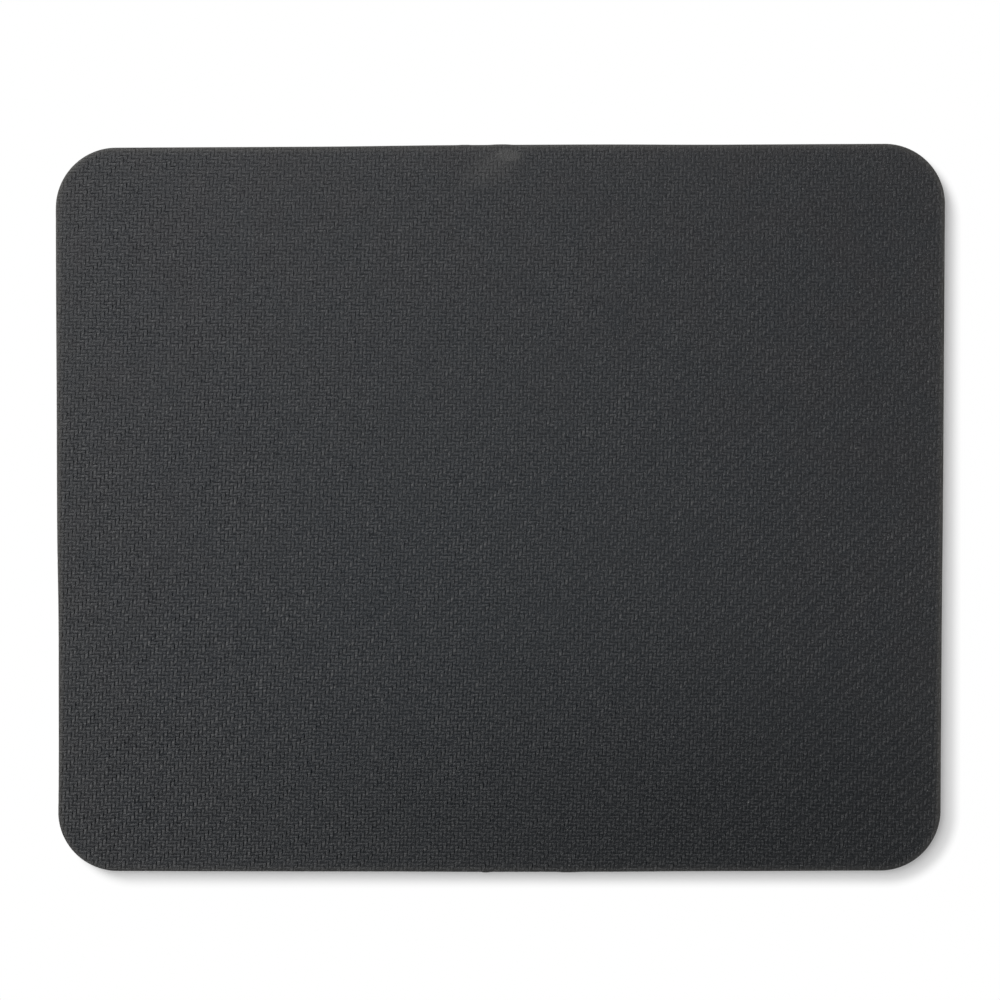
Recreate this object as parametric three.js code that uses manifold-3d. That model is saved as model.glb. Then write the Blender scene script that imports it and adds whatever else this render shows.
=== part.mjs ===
// Mouse pad: four flexible layers bonded face to face and die-cut to one rounded outline.
// Units are millimetres, with +Z up. The pad lies face down, so the tracking cloth is on
// the ground and the embossed grip side is up. The origin is on the ground at the centre.

import * as THREE from 'three';
import { mergeVertices } from 'three/addons/utils/BufferGeometryUtils.js';
import Module from 'manifold-3d';

// Driving dimensions of the outline
const PAD_LENGTH = 220;
const PAD_WIDTH = 180;
const CORNER_RADIUS = 15;

// Driving dimensions of the layers, from the ground up
const CLOTH_THICKNESS = 0.5;
const FILM_THICKNESS = 0.1;
const SPONGE_THICKNESS = 2;
const SKIN_THICKNESS = 0.4;

// The cutting die pinches the skin, which leaves its upper edge rounded
const SKIN_EDGE_ROUND = 0.2;
const EDGE_ROUND_LIMIT_SHARE = 0.9;

// It also squeezes the sponge as it cuts, so the cut side springs back drawn in at mid height
const SPONGE_DRAW_IN = 0.15;
const DRAW_IN_RISE_SHARE = 0.4;

// Fineness of the round stretches; an arc is drawn in two straight steps for each of its own
const CORNER_STEPS = 12;
const EDGE_ROUND_STEPS = 4;
const DRAW_IN_STEPS = 3;

// How far a cut runs past the solid that it trims
const CUT_OVERRUN = 1;

const wasm = await Module();
wasm.setup();

// Outline of every layer: a rectangle with four equal round corners, anticlockwise.
function padOutline() {
  const cornerX = PAD_LENGTH / 2 - CORNER_RADIUS;
  const cornerY = PAD_WIDTH / 2 - CORNER_RADIUS;
  const quarter = Math.PI / 2;
  const outline = new THREE.Shape();
  outline.absarc(cornerX, cornerY, CORNER_RADIUS, 0, quarter);
  outline.absarc(-cornerX, cornerY, CORNER_RADIUS, quarter, 2 * quarter);
  outline.absarc(-cornerX, -cornerY, CORNER_RADIUS, 2 * quarter, 3 * quarter);
  outline.absarc(cornerX, -cornerY, CORNER_RADIUS, 3 * quarter, 4 * quarter);
  outline.closePath();
  return outline;
}

// Plain layer with square-cut edges, its underside at zero height.
function flatLayer(thickness) {
  return new THREE.ExtrudeGeometry(padOutline(), {
    depth: thickness,
    curveSegments: CORNER_STEPS,
    bevelEnabled: false,
  });
}

// Layer whose cut side is full at both faces and drawn in between them.
function drawnInLayer(thickness, drawIn) {
  const rise = thickness * DRAW_IN_RISE_SHARE;
  const geometry = new THREE.ExtrudeGeometry(padOutline(), {
    depth: thickness - 2 * rise,
    curveSegments: CORNER_STEPS,
    bevelThickness: rise,
    bevelSize: -drawIn,
    bevelSegments: DRAW_IN_STEPS,
  });
  return geometry.translate(0, 0, rise);
}

// A closed geometry as a solid that can be cut.
function toSolid(geometry) {
  const bare = geometry.clone();
  bare.deleteAttribute('normal');
  bare.deleteAttribute('uv');
  const welded = mergeVertices(bare);
  return new wasm.Manifold(new wasm.Mesh({
    numProp: 3,
    vertProperties: new Float32Array(welded.attributes.position.array),
    triVerts: new Uint32Array(welded.index.array),
  }));
}

// A cut solid as a geometry with flat-shaded faces.
function toGeometry(solid) {
  const mesh = solid.getMesh();
  const geometry = new THREE.BufferGeometry();
  geometry.setAttribute('position', new THREE.BufferAttribute(mesh.vertProperties, mesh.numProp));
  geometry.setIndex(new THREE.BufferAttribute(mesh.triVerts, 1));
  geometry.computeVertexNormals();
  return geometry;
}

// Layer whose upper edge is rounded all the way round and whose underside is square-cut.
// It is made with both edges round, long enough below, and then trimmed flat at zero height.
function roundedLayer(thickness, wantedRound) {
  const round = Math.min(wantedRound, thickness * EDGE_ROUND_LIMIT_SHARE);
  const blank = new THREE.ExtrudeGeometry(padOutline(), {
    depth: thickness - round + CUT_OVERRUN,
    curveSegments: CORNER_STEPS,
    bevelThickness: round,
    bevelSize: round,
    bevelOffset: -round,
    bevelSegments: EDGE_ROUND_STEPS,
  });
  blank.translate(0, 0, -CUT_OVERRUN);
  const trimDepth = round + 2 * CUT_OVERRUN;
  const trim = new THREE.BoxGeometry(
    PAD_LENGTH + 2 * CUT_OVERRUN,
    PAD_WIDTH + 2 * CUT_OVERRUN,
    trimDepth,
  );
  trim.translate(0, 0, -trimDepth / 2);
  return toGeometry(toSolid(blank).subtract(toSolid(trim)));
}

// One layer of the pad, with its underside at the given height.
function layer(name, geometry, height, finish) {
  const mesh = new THREE.Mesh(geometry, new THREE.MeshStandardMaterial(finish));
  mesh.name = name;
  mesh.position.z = height;
  return mesh;
}

// Heights of the bonded faces, each layer seated on the one below it
const filmHeight = CLOTH_THICKNESS;
const spongeHeight = filmHeight + FILM_THICKNESS;
const skinHeight = spongeHeight + SPONGE_THICKNESS;

const pad = new THREE.Group();

// Knitted polyester tracking cloth, face down
pad.add(layer('cloth_face', flatLayer(CLOTH_THICKNESS), 0, {
  color: 0x24262a,
  roughness: 0.95,
  metalness: 0,
}));

// Hot-melt adhesive film between the cloth and the rubber
pad.add(layer('bonding_film', flatLayer(FILM_THICKNESS), filmHeight, {
  color: 0xb9b3a6,
  roughness: 0.45,
  metalness: 0,
}));

// Closed-cell sponge rubber that gives the pad its body
pad.add(layer('sponge_core', drawnInLayer(SPONGE_THICKNESS, SPONGE_DRAW_IN), spongeHeight, {
  color: 0x2f3032,
  roughness: 0.9,
  metalness: 0,
}));

// Dense rubber skin whose upper face carries the twill imprint and grips the desk in use
pad.add(layer('grip_skin', roundedLayer(SKIN_THICKNESS, SKIN_EDGE_ROUND), skinHeight, {
  color: 0x3c3e41,
  roughness: 0.75,
  metalness: 0,
}));

export default pad;
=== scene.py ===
"""Mouse pad lying face down on a white table, with its embossed grip side up.

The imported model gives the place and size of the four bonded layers. Here each layer is
modelled again as the soft thing it is: a rubber skin with the imprint of a twill cloth, a
die-cut sponge core, the adhesive film and the knitted tracking cloth. All lengths are in
metres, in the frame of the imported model.
"""

import logging
import math
from dataclasses import dataclass, field
from enum import Enum

import bmesh
import bpy
import numpy as np
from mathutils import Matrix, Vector, noise


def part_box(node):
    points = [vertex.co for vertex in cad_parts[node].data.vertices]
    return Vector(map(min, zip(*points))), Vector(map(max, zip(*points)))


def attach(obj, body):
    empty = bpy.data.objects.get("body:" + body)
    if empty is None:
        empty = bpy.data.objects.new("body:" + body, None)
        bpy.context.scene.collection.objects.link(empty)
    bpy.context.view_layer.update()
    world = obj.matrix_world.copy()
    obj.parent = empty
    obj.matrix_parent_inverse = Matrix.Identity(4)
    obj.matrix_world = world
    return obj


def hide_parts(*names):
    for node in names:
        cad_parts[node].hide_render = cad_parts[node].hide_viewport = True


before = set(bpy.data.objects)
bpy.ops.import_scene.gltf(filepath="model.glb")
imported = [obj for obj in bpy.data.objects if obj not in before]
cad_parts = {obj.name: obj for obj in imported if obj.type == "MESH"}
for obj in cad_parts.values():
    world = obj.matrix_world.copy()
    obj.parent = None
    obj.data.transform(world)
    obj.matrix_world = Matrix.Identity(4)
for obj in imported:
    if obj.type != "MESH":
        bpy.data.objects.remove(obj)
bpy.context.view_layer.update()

MM = 0.001
CORNER_RADIUS = 15 * MM
BODY = "root"

Colour = tuple[float, float, float]
Range = tuple[float, float]

# Ranges of soft noise: nearly all of it lies in the wide one, and most in the middle one
WIDE_RANGE: Range = (0.2, 0.8)
MIDDLE_RANGE: Range = (0.3, 0.7)

log = logging.getLogger("mouse_pad")


class Side(Enum):
    """The four straight sides of the pad, by the way that each one faces."""

    RIGHT = (1.0, 0.0)
    TOP = (0.0, 1.0)
    LEFT = (-1.0, 0.0)
    BOTTOM = (0.0, -1.0)


class Face(Enum):
    """Which broad face of a layer takes most of its texture map."""

    UPPER = 1.0
    LOWER = -1.0


def smooth_step(share: np.ndarray) -> np.ndarray:
    """Ease a share, held between 0 and 1, so that it starts and stops softly."""
    held = np.clip(share, 0.0, 1.0)
    return held * held * (3.0 - 2.0 * held)


def first_match(rules: list[tuple[np.ndarray, object]], otherwise: object) -> np.ndarray:
    """Give each place the value of the first rule that holds there, or the other value."""
    return np.select([rule for rule, _ in rules], [value for _, value in rules], otherwise)


@dataclass(frozen=True)
class Swell:
    """A stretch of a side where the cut edge stands proud of its straight line, or behind it.

    The edge is at its full rise at the centre and back on its line past the reach.
    """

    side: Side
    centre: float
    reach: float
    rise: float

    def at(self, x: np.ndarray, y: np.ndarray, out_x: np.ndarray, out_y: np.ndarray) -> np.ndarray:
        """Say how far the edge stands proud at some places on it.

        Args:
            x: Places on the edge, along the pad's length.
            y: The same places, along the pad's width.
            out_x: The way that the edge faces there, along the length.
            out_y: The same, along the width.

        Returns:
            The rise at each place.
        """
        facing = out_x * self.side.value[0] + out_y * self.side.value[1]
        along = y if self.side in (Side.LEFT, Side.RIGHT) else x
        bump = np.exp(-(((along - self.centre) / self.reach) ** 4))
        return self.rise * bump * np.clip(facing, 0.0, 1.0) ** 2


@dataclass(frozen=True)
class CutOutline:
    """The outline that the steel-rule die cuts through all the layers at once.

    The rubber creeps a little as it is cut, so the real edge is slightly out of square and
    wanders by some tenths of a millimetre from the plain rounded rectangle.
    """

    half_length: float
    half_width: float
    radius: float = CORNER_RADIUS
    skew: float = math.radians(0.3)
    creep_depth: float = 14 * MM
    swells: tuple[Swell, ...] = (
        Swell(Side.TOP, 5 * MM, 36 * MM, 0.22 * MM),
        Swell(Side.BOTTOM, 10 * MM, 30 * MM, 0.12 * MM),
        Swell(Side.LEFT, -46 * MM, 32 * MM, -0.36 * MM),
        Swell(Side.LEFT, 5 * MM, 40 * MM, -0.08 * MM),
        Swell(Side.RIGHT, -55 * MM, 45 * MM, -0.14 * MM),
        Swell(Side.BOTTOM, 0.0, 85 * MM, 0.2 * MM),
        Swell(Side.TOP, 0.5 * MM, 2.4 * MM, 0.12 * MM),
        Swell(Side.TOP, -8.6 * MM, 1.4 * MM, 0.07 * MM),
        Swell(Side.BOTTOM, -3 * MM, 1 * MM, 0.15 * MM),
        Swell(Side.BOTTOM, 17.5 * MM, 2.5 * MM, 0.12 * MM),
    )

    def core_offset(self, x: np.ndarray, y: np.ndarray) -> tuple[np.ndarray, np.ndarray]:
        """Measure how far points lie outside the rectangle of the corners' centres.

        Args:
            x: Places along the pad's length.
            y: Places along the pad's width.

        Returns:
            The signed distances past that rectangle along the length and the width.
        """
        past_x = np.abs(x) - (self.half_length - self.radius)
        past_y = np.abs(y) - (self.half_width - self.radius)
        return past_x, past_y

    def depth(self, x: np.ndarray, y: np.ndarray) -> np.ndarray:
        """Measure how far inside the plain outline some places lie.

        Args:
            x: Places along the pad's length.
            y: Places along the pad's width.

        Returns:
            The distance to the outline, negative outside it.
        """
        past_x, past_y = self.core_offset(x, y)
        outside = np.hypot(np.maximum(past_x, 0.0), np.maximum(past_y, 0.0))
        inside = np.minimum(np.maximum(past_x, past_y), 0.0)
        return self.radius - outside - inside

    def facing(self, x: np.ndarray, y: np.ndarray) -> tuple[np.ndarray, np.ndarray]:
        """Find the way that the nearest stretch of the outline faces.

        Args:
            x: Places along the pad's length.
            y: Places along the pad's width.

        Returns:
            The two parts of the outward unit direction.
        """
        past_x, past_y = self.core_offset(x, y)
        flat_x = np.where(past_x > past_y, 1.0, 0.0)
        in_corner = (past_x > 0.0) & (past_y > 0.0)
        size = np.where(in_corner, np.hypot(past_x, past_y), 1.0)
        out_x = np.where(in_corner, past_x / size, flat_x)
        out_y = np.where(in_corner, past_y / size, 1.0 - flat_x)
        return out_x * np.where(x < 0.0, -1.0, 1.0), out_y * np.where(y < 0.0, -1.0, 1.0)

    def onto_edge(self, x: np.ndarray, y: np.ndarray) -> tuple[np.ndarray, np.ndarray]:
        """Move places to the nearest point of the plain outline.

        Args:
            x: Places along the pad's length.
            y: Places along the pad's width.

        Returns:
            The moved places.
        """
        depth = self.depth(x, y)
        out_x, out_y = self.facing(x, y)
        return x + out_x * depth, y + out_y * depth

    def settle(self, x: np.ndarray, y: np.ndarray) -> tuple[np.ndarray, np.ndarray]:
        """Carry places on the plain outline's sheet to where they lie on the real pad.

        Args:
            x: Places along the pad's length.
            y: Places along the pad's width.

        Returns:
            The places on the slightly skewed and swollen pad.
        """
        out_x, out_y = self.facing(x, y)
        depth = self.depth(x, y)
        edge_x, edge_y = self.onto_edge(x, y)
        rise = sum(s.at(edge_x, edge_y, out_x, out_y) for s in self.swells)
        share = np.exp(-np.maximum(depth, 0.0) / self.creep_depth)
        moved_x = x + out_x * rise * share + y * math.tan(self.skew)
        return moved_x, y + out_y * rise * share

    def perimeter_share(self, x: np.ndarray, y: np.ndarray) -> np.ndarray:
        """Say how far round the outline places on it lie, as shares of a whole turn."""
        return (np.arctan2(y / self.half_width, x / self.half_length) / math.tau) % 1.0

    def area(self) -> float:
        """Return the area of the plain outline."""
        return 4 * self.half_length * self.half_width - (4 - math.pi) * self.radius**2


class ShaderGraph:
    """Builds the node tree of one material, or of the room's light."""

    def __init__(self, owner: bpy.types.Material | bpy.types.World) -> None:
        """Start with an empty tree.

        Args:
            owner: The material or world that the tree belongs to.
        """
        owner.use_nodes = True
        self.owner = owner
        self.tree = owner.node_tree
        self.tree.nodes.clear()
        self.coordinates = self.add("ShaderNodeTexCoord").outputs
        self.places = self.coordinates["Object"]

    @classmethod
    def named(cls, name: str) -> "ShaderGraph":
        """Start an empty material by its name."""
        return cls(bpy.data.materials.new(name))

    def add(self, kind: str, **settings: object) -> bpy.types.Node:
        """Add a node.

        Args:
            kind: The node's type.
            settings: Properties of the node to set.

        Returns:
            The new node.
        """
        node = self.tree.nodes.new(kind)
        for name, value in settings.items():
            setattr(node, name, value)
        return node

    def feed(self, socket: bpy.types.NodeSocket, value: object) -> None:
        """Link a socket to another one, or set its number or colour.

        Args:
            socket: The input socket.
            value: An output socket, a number or a colour.
        """
        if isinstance(value, bpy.types.NodeSocket):
            self.tree.links.new(value, socket)
        elif isinstance(value, tuple) and len(value) == 3 and socket.type == "RGBA":
            socket.default_value = (*value, 1.0)
        else:
            socket.default_value = value

    def maths(self, operation: str, *values: object) -> bpy.types.NodeSocket:
        """Add a Math node.

        Args:
            operation: The node's operation.
            values: What goes into its inputs, in order.

        Returns:
            Its result.
        """
        node = self.add("ShaderNodeMath", operation=operation)
        for socket, value in zip(node.inputs, values):
            self.feed(socket, value)
        return node.outputs[0]

    def ramp(self, value: object, low: float, high: float, start: float = 0.0, end: float = 1.0
             ) -> bpy.types.NodeSocket:
        """Turn a range of a value into another range, held at both ends.

        Args:
            value: The value's socket.
            low: Where the range starts.
            high: Where the range ends.
            start: The result at the low end.
            end: The result at the high end.

        Returns:
            The result.
        """
        node = self.add("ShaderNodeMapRange", interpolation_type="SMOOTHSTEP")
        for socket, number in zip(node.inputs, (value, low, high, start, end)):
            self.feed(socket, number)
        return node.outputs[0]

    def grain(self, size: float, detail: float = 3.0) -> bpy.types.NodeSocket:
        """Add soft noise on the object's coordinates.

        Args:
            size: About how far apart its lumps are.
            detail: How many finer layers it has.

        Returns:
            The noise, from 0 to 1.
        """
        node = self.add("ShaderNodeTexNoise")
        self.feed(node.inputs["Vector"], self.places)
        self.feed(node.inputs["Scale"], 1.0 / size)
        self.feed(node.inputs["Detail"], detail)
        return node.outputs["Fac"]

    def cells(self, size: float, dimensions: str = "3D") -> bpy.types.Node:
        """Add a cell pattern on the object's coordinates.

        Args:
            size: About how wide a cell is.
            dimensions: How many axes the cells fill, as the node names it.

        Returns:
            The pattern's node.
        """
        node = self.add("ShaderNodeTexVoronoi", voronoi_dimensions=dimensions)
        self.feed(node.inputs["Vector"], self.places)
        self.feed(node.inputs["Scale"], 1.0 / size)
        return node

    def attribute(self, name: str) -> bpy.types.NodeSocket:
        """Read a number that each point of the mesh holds."""
        return self.add("ShaderNodeAttribute", attribute_name=name).outputs["Fac"]

    def mix(self, share: object, first: object, second: object) -> bpy.types.NodeSocket:
        """Mix two colours.

        Args:
            share: How much of the second one shows.
            first: The first colour or its socket.
            second: The second colour or its socket.

        Returns:
            The mixed colour.
        """
        node = self.add("ShaderNodeMix", data_type="RGBA")
        self.feed(node.inputs["Factor"], share)
        self.feed(node.inputs["A"], first)
        self.feed(node.inputs["B"], second)
        return node.outputs["Result"]

    def brighten(self, colour: object, amount: object) -> bpy.types.NodeSocket:
        """Multiply a colour by a number.

        Args:
            colour: The colour's socket.
            amount: The number's socket.

        Returns:
            The product.
        """
        node = self.add("ShaderNodeVectorMath", operation="SCALE")
        self.feed(node.inputs["Vector"], colour)
        self.feed(node.inputs["Scale"], amount)
        return node.outputs["Vector"]

    def mottled(self, colour: object, size: float, amount: float, detail: float = 3.0,
                band: Range = MIDDLE_RANGE) -> bpy.types.NodeSocket:
        """Make a colour lighter and darker by a share, in soft patches of some size."""
        patches = self.grain(size, detail)
        return self.brighten(colour, self.ramp(patches, *band, 1 - amount, 1 + amount))

    def parts(self, kind: str, value: object) -> bpy.types.bpy_prop_collection:
        """Take a colour or a place apart.

        Args:
            kind: The type of the node that does it.
            value: The socket of the colour or the place.

        Returns:
            The sockets of its three parts.
        """
        node = self.add(kind)
        self.feed(node.inputs[0], value)
        return node.outputs

    def bump(self, height: object, depth: float) -> bpy.types.NodeSocket:
        """Turn a height from 0 to 1 into a bumpy normal.

        Args:
            height: The height's socket.
            depth: How deep the bumps are.

        Returns:
            The normal.
        """
        node = self.add("ShaderNodeBump")
        self.feed(node.inputs["Height"], height)
        self.feed(node.inputs["Distance"], depth)
        return node.outputs["Normal"]

    def surface(self, **inputs: object) -> bpy.types.Material:
        """Finish the material with a Principled surface.

        Args:
            inputs: Its inputs by name, with underscores for spaces.

        Returns:
            The material.
        """
        shader = self.add("ShaderNodeBsdfPrincipled")
        for name, value in inputs.items():
            self.feed(shader.inputs[name.replace("_", " ")], value)
        return self.output(shader.outputs["BSDF"])

    def output(self, shader: bpy.types.NodeSocket) -> bpy.types.Material:
        """Finish the material with a shader and return it."""
        self.feed(self.add("ShaderNodeOutputMaterial").inputs["Surface"], shader)
        return self.owner


@dataclass(frozen=True)
class EmbossedRubber:
    """Dense matt rubber whose upper face was pressed against a twill cloth."""

    dark: Colour = (0.0072, 0.0102, 0.0138)
    light: Colour = (0.0086, 0.0114, 0.0145)
    bloom: Colour = (0.0112, 0.0114, 0.0138)
    # Painted shade: the lower right of the pad, farther from the softbox, is mixed towards this
    # cool near-black
    falloff_shade: Colour = (0.0, 0.0016, 0.0034)
    edge_tint: Colour = (0.0520, 0.0505, 0.0475)
    rubbed_tint: Colour = (0.0395, 0.0395, 0.0390)
    # Colour of the painted highlights on the rims of the floats that face the softbox
    rim_highlight: Colour = (0.064, 0.065, 0.067)
    # Colour of the pale specks, partly powder and partly painted glints
    powder_and_glint: Colour = (0.095, 0.096, 0.097)
    lint: Colour = (0.13, 0.13, 0.125)
    cloud_size: float = 26 * MM
    cloud_detail: float = 4.0
    bloom_size: float = 9 * MM
    bloom_band: Range = (0.35, 0.65)
    bloom_thinned: float = 0.5
    mottle_size: float = 0.22 * MM
    mottle_detail: float = 5.0
    mottle_band: Range = (0.25, 0.75)
    mottle: float = 0.6
    # Painted shade in the imprint's slots: the colour is darkened the deeper a slot is
    painted_hollow_shade: float = 0.22
    speck_spacing: float = 0.38 * MM
    speck_radius_share: float = 0.42
    speck_share: float = 0.4
    lint_spacing: float = 9 * MM
    lint_radius_share: float = 0.013
    lint_left_out: float = 0.8
    falloff_shade_share: float = 0.86
    roughness: float = 0.455
    roughness_spread: float = 0.07
    rubbed_polish: float = 0.14
    falloff_polish: float = 0.1
    gloss: float = 0.35
    grain_size: float = 0.28 * MM
    grain_detail: float = 1.0
    grain_depth: float = 0.14 * MM

    def base_with_painted_light(self, graph: ShaderGraph) -> bpy.types.NodeSocket:
        """Colour the rubber with its bloom, with painted shade in its hollows and painted
        highlights on its rims.

        Args:
            graph: The material's graph.

        Returns:
            The colour.
        """
        cloud = graph.ramp(graph.grain(self.cloud_size, self.cloud_detail), *MIDDLE_RANGE)
        colour = graph.mix(cloud, self.dark, self.light)
        bloom = graph.ramp(graph.grain(self.bloom_size), *self.bloom_band, self.bloom_thinned, 1.0)
        bloom = graph.maths("MULTIPLY", bloom, graph.attribute("bloom"))
        colour = graph.mix(bloom, colour, self.bloom)
        colour = graph.mottled(colour, self.mottle_size, self.mottle, self.mottle_detail,
                               self.mottle_band)
        # Painted shade: the colour is darkened in the slots, the deeper the darker
        hollow = graph.maths("MULTIPLY_ADD", graph.attribute("hollow"), -self.painted_hollow_shade, 1.0)
        colour = graph.brighten(colour, hollow)
        # Painted highlights: the rims of the floats by the walls that face the softbox are
        # lightened
        return graph.mix(graph.attribute("rim"), colour, self.rim_highlight)

    def powder_and_glint_specks(self, graph: ShaderGraph) -> bpy.types.NodeSocket:
        """Scatter fine pale specks, partly powder on the rubber and partly painted glints.

        Args:
            graph: The material's graph.

        Returns:
            How much of a speck each place has.
        """
        speck_cells = graph.cells(self.speck_spacing)
        drawn = graph.parts("ShaderNodeSeparateColor", speck_cells.outputs["Color"])
        left = graph.maths("LESS_THAN", drawn[0], self.speck_share)
        spot = graph.ramp(speck_cells.outputs["Distance"], 0.0, self.speck_radius_share, 1.0, 0.0)
        return graph.maths("MULTIPLY", left, spot)

    def lint_specks(self, graph: ShaderGraph) -> bpy.types.NodeSocket:
        """Scatter a few small bits of lint.

        Args:
            graph: The material's graph.

        Returns:
            1 on each bit, and 0 elsewhere.
        """
        bits = graph.cells(self.lint_spacing, "2D")
        drawn = graph.parts("ShaderNodeSeparateColor", bits.outputs["Color"])
        near = graph.maths("LESS_THAN", bits.outputs["Distance"], self.lint_radius_share)
        few = graph.maths("GREATER_THAN", drawn[0], self.lint_left_out)
        return graph.maths("MULTIPLY", near, few)

    def material(self) -> bpy.types.Material:
        """Build the finish.

        Returns:
            The material.
        """
        graph = ShaderGraph.named("embossed_rubber")
        falloff_shade, rubbed = graph.attribute("falloff_shade"), graph.attribute("rubbed")
        # Pale specks: partly powder, partly painted glints
        colour = graph.mix(self.powder_and_glint_specks(graph), self.base_with_painted_light(graph), self.powder_and_glint)
        # Painted shade: darken the lower right of the pad, farther from the softbox
        colour = graph.mix(graph.maths("MULTIPLY", falloff_shade, self.falloff_shade_share), colour, self.falloff_shade)
        colour = graph.mix(graph.attribute("edge"), colour, self.edge_tint)
        colour = graph.mix(rubbed, colour, self.rubbed_tint)
        colour = graph.mix(self.lint_specks(graph), colour, self.lint)
        grain = graph.grain(self.grain_size, self.grain_detail)
        ends = (self.roughness - self.roughness_spread, self.roughness + self.roughness_spread)
        rough = graph.ramp(grain, *WIDE_RANGE, *ends)
        rough = graph.maths("MULTIPLY_ADD", rubbed, -self.rubbed_polish, rough)
        # The same lower right region is also made glossier
        rough = graph.maths("MULTIPLY_ADD", falloff_shade, -self.falloff_polish, rough)
        return graph.surface(
            Base_Color=colour,
            Roughness=rough,
            Specular_IOR_Level=self.gloss,
            Normal=graph.bump(grain, self.grain_depth),
        )


@dataclass(frozen=True)
class CutSponge:
    """Closed-cell black sponge rubber, whose cut side shows opened cells."""

    wall: Colour = (0.032, 0.033, 0.036)
    # Painted shade: the opened cells are darker than the cut walls round them
    cell: Colour = (0.012, 0.012, 0.014)
    wall_roughness: float = 0.85
    cell_roughness: float = 0.95
    gloss: float = 0.3
    cell_size: float = 0.34 * MM
    cell_band: Range = (0.12, 0.42)
    cell_depth: float = 0.06 * MM
    mottle_size: float = 2.5 * MM
    mottle: float = 0.15
    grain_size: float = 0.12 * MM
    grain_share: float = 0.25

    def material(self) -> bpy.types.Material:
        """Build the finish.

        Returns:
            The material.
        """
        graph = ShaderGraph.named("cut_sponge")
        walls = graph.ramp(graph.cells(self.cell_size).outputs["Distance"], *self.cell_band)
        # Painted shade inside the opened cells
        colour = graph.mix(walls, self.cell, self.wall)
        height = graph.maths("MULTIPLY_ADD", graph.grain(self.grain_size), self.grain_share, walls)
        return graph.surface(
            Base_Color=graph.mottled(colour, self.mottle_size, self.mottle),
            Roughness=graph.ramp(walls, 0.0, 1.0, self.cell_roughness, self.wall_roughness),
            Specular_IOR_Level=self.gloss,
            Normal=graph.bump(height, self.cell_depth),
        )


@dataclass(frozen=True)
class MeltFilm:
    """Cloudy hot-melt film, seen only as a thin line in the cut edge."""

    clear: Colour = (0.11, 0.105, 0.09)
    cloudy: Colour = (0.17, 0.16, 0.135)
    roughness: Range = (0.34, 0.54)
    web_size: float = 1.6 * MM
    web_detail: float = 5.0
    web_band: Range = (0.35, 0.65)
    web_depth: float = 0.02 * MM

    def material(self) -> bpy.types.Material:
        """Build the finish.

        Returns:
            The material.
        """
        graph = ShaderGraph.named("melt_film")
        web = graph.grain(self.web_size, self.web_detail)
        return graph.surface(
            Base_Color=graph.mix(graph.ramp(web, *self.web_band), self.clear, self.cloudy),
            Roughness=graph.ramp(web, *WIDE_RANGE, *self.roughness),
            Normal=graph.bump(web, self.web_depth),
        )


@dataclass(frozen=True)
class KnitCloth:
    """Fine warp-knitted polyester, dyed black, with small columns of loops."""

    yarn: Colour = (0.020, 0.021, 0.024)
    # Painted shade: the gaps between the loops are darker than the yarn
    gap: Colour = (0.008, 0.008, 0.009)
    wale_pitch: float = 0.42 * MM
    course_pitch: float = 0.34 * MM
    loop_lean: float = 0.9
    tie_height: float = 0.45
    loop_band: Range = (-1.2, 1.2)
    loop_depth: float = 0.05 * MM
    shade_size: float = 14 * MM
    shade_detail: float = 4.0
    shade: float = 0.08
    fuzz_size: float = 0.09 * MM
    fuzz_detail: float = 2.0
    fuzz_share: float = 0.3
    roughness: Range = (0.84, 1.0)
    sheen: float = 0.25
    sheen_roughness: float = 0.5
    sheen_tint: Colour = (0.55, 0.56, 0.6)

    def loops(self, graph: ShaderGraph) -> bpy.types.NodeSocket:
        """Draw the height of the knitted loops.

        Args:
            graph: The material's graph.

        Returns:
            The height, from 0 in the gaps to 1 on the yarn.
        """
        across, up = graph.parts("ShaderNodeSeparateXYZ", graph.places)[:2]
        wale = graph.maths("MULTIPLY", across, math.tau / self.wale_pitch)
        course = graph.maths("MULTIPLY", up, math.tau / self.course_pitch)
        lean = graph.maths("MULTIPLY", graph.maths("SINE", course), self.loop_lean)
        column = graph.maths("SINE", graph.maths("ADD", wale, lean))
        tied = graph.maths("MULTIPLY", graph.maths("COSINE", course), self.tie_height)
        return graph.ramp(graph.maths("ADD", column, tied), *self.loop_band)

    def material(self) -> bpy.types.Material:
        """Build the finish.

        Returns:
            The material.
        """
        graph = ShaderGraph.named("knit_cloth")
        loops = self.loops(graph)
        # Painted shade in the gaps between the loops
        colour = graph.mix(loops, self.gap, self.yarn)
        fuzz = graph.grain(self.fuzz_size, self.fuzz_detail)
        height = graph.maths("MULTIPLY_ADD", fuzz, self.fuzz_share, loops)
        return graph.surface(
            Base_Color=graph.mottled(colour, self.shade_size, self.shade, self.shade_detail),
            Roughness=graph.ramp(fuzz, *WIDE_RANGE, *self.roughness),
            Sheen_Weight=self.sheen,
            Sheen_Roughness=self.sheen_roughness,
            Sheen_Tint=self.sheen_tint,
            Normal=graph.bump(height, self.loop_depth),
        )


Finish = EmbossedRubber | CutSponge | MeltFilm | KnitCloth


@dataclass(frozen=True)
class SoftNoise:
    """Even noise that is drawn once from a seed and can be read anywhere on the pad."""

    size: float
    seed: int
    reach: float = 0.3

    def at(self, x: np.ndarray, y: np.ndarray) -> np.ndarray:
        """Read the noise.

        Args:
            x: Places along the pad's length.
            y: Places along the pad's width.

        Returns:
            Values about 0, with a spread of about 0.6.
        """
        count = math.ceil(self.reach / self.size) + 2
        drawn = np.random.default_rng(self.seed).normal(0.0, 1.0, (count, count))
        across, up = (x + self.reach / 2) / self.size, (y + self.reach / 2) / self.size
        i, j = across.astype(int), up.astype(int)
        s, t = smooth_step(across - i), smooth_step(up - j)
        near = drawn[i, j] * (1 - s) + drawn[i + 1, j] * s
        far = drawn[i, j + 1] * (1 - s) + drawn[i + 1, j + 1] * s
        return near * (1 - t) + far * t


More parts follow.
